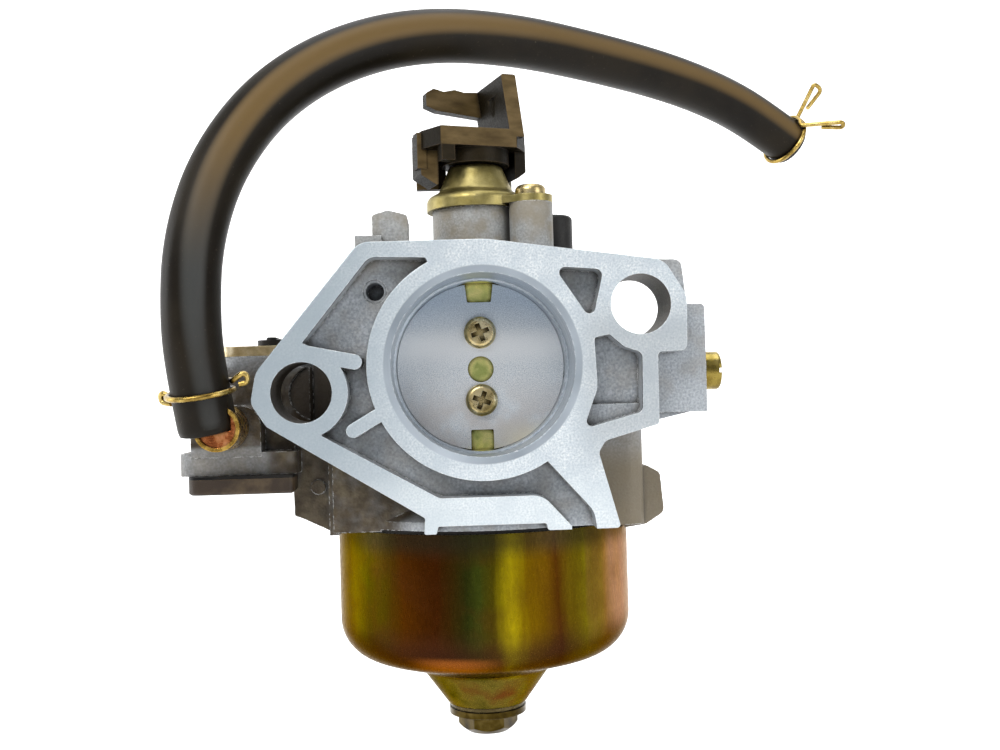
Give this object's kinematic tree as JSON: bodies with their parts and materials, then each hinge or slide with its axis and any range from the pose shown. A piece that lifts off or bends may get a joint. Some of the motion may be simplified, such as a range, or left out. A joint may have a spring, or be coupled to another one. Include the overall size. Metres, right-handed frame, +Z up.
{
  "type": "carburetor",
  "caption": "Small-engine float carburetor with throttle and choke butterflies, float bowl, fuel tap and inlet hose.",
  "frame": {"origin": "centre of the bore on the machined engine-side flange", "axes": "+Z up as it is mounted, bowl down; the bore runs along Y and the engine-side flange faces -Y; +X to the right"},
  "size_m": [0.141, 0.0758, 0.1397],
  "materials": {
    "cast_aluminium": "die-cast skin, faces machined",
    "black_lever_plastic": "moulded",
    "black_plastic": "moulded",
    "float_plastic": "moulded",
    "yellow_zinc": "yellow zinc plated",
    "bowl_zinc": "yellow zinc plated, iridescent",
    "plate_zinc": "bright zinc plated",
    "bright_steel": "bright",
    "brass": "turned",
    "seal_rubber": "moulded",
    "washer_alloy": "soft washer",
    "hose_rubber": "extruded",
    "clip_wire": "yellow zinc plated wire"
  },
  "bodies": {
    "carburetor": {"body_casting": "cast_aluminium", "throttle_cap": "yellow_zinc", "cap_screw": "yellow_zinc", "shaft_seal": "seal_rubber", "idle_spring": "bright_steel", "pilot_jet": "black_plastic", "main_jet": "brass", "main_nozzle": "brass", "float_pin": "bright_steel", "needle_seat": "brass", "bowl_gasket": "seal_rubber", "float_bowl": "bowl_zinc", "drain_washer": "washer_alloy", "bowl_bolt": "yellow_zinc", "bowl_bolt_washer": "washer_alloy", "tap_packing": "seal_rubber", "tap_spring": "bright_steel", "tap_plate": "yellow_zinc", "tap_plate_screws": "yellow_zinc", "strainer_cover": "black_plastic", "cover_gasket": "seal_rubber", "cover_screw": "yellow_zinc", "fuel_strainer": "brass", "inlet_elbow": "brass", "fuel_hose": "hose_rubber", "hose_clip_inlet": "clip_wire", "hose_clip_free": "clip_wire"},
    "throttle": {"throttle_shaft": "yellow_zinc", "throttle_plate": "plate_zinc", "throttle_plate_screws": "yellow_zinc", "throttle_lever": "black_lever_plastic"},
    "choke": {"choke_shaft": "yellow_zinc", "choke_plate": "plate_zinc", "choke_plate_screws": "yellow_zinc", "choke_lever": "yellow_zinc", "choke_clip": "bright_steel"},
    "fuel_tap": {"tap_spindle": "brass", "tap_lever": "black_plastic"},
    "float": {"float": "float_plastic"},
    "needle": {"float_needle": "brass"},
    "idle_stop": {"idle_screw": "yellow_zinc", "idle_screw_knob": "black_plastic"},
    "mixture": {"mixture_screw": "brass"},
    "drain": {"drain_screw": "yellow_zinc"}
  },
  "joints": [
    {"name": "throttle_turn", "type": "hinge", "parent": "carburetor", "child": "throttle", "pos_m": [0, 0.0165, 0], "axis": [0, 0, -1], "range_deg": [0, 70]},
    {"name": "choke_turn", "type": "hinge", "parent": "carburetor", "child": "choke", "pos_m": [0, 0.047, 0], "axis": [1, 0, 0], "range_deg": [0, 75]},
    {"name": "fuel_tap_turn", "type": "hinge", "parent": "carburetor", "child": "fuel_tap", "pos_m": [-0.0405, 0.032, 0.005], "axis": [0, 0, 1], "range_deg": [0, 90]},
    {"name": "float_rise", "type": "hinge", "parent": "carburetor", "child": "float", "pos_m": [-0.0215, 0.0305, -0.035], "axis": [0, -1, 0], "range_deg": [0, 6]},
    {"name": "needle_rise", "type": "slide", "parent": "carburetor", "child": "needle", "axis": [0, 0, 1], "range_m": [0, 0.00064]},
    {"name": "idle_stop_turn", "type": "hinge", "parent": "carburetor", "child": "idle_stop", "pos_m": [0.0049, 0.036, 0.0356], "axis": [0, 1, 0], "range_deg": [-720, 720]},
    {"name": "mixture_turn", "type": "hinge", "parent": "carburetor", "child": "mixture", "pos_m": [0.04, 0.0155, -0.0019], "axis": [1, 0, 0], "range_deg": [-540, 540]},
    {"name": "drain_turn", "type": "hinge", "parent": "carburetor", "child": "drain", "pos_m": [0, 0.062, -0.045], "axis": [0, -1, 0], "range_deg": [0, 1440]}
  ],
  "couplings": [
    {"joint": "needle_rise", "follows": "float_rise", "m_per_rad": 0.006}
  ]
}
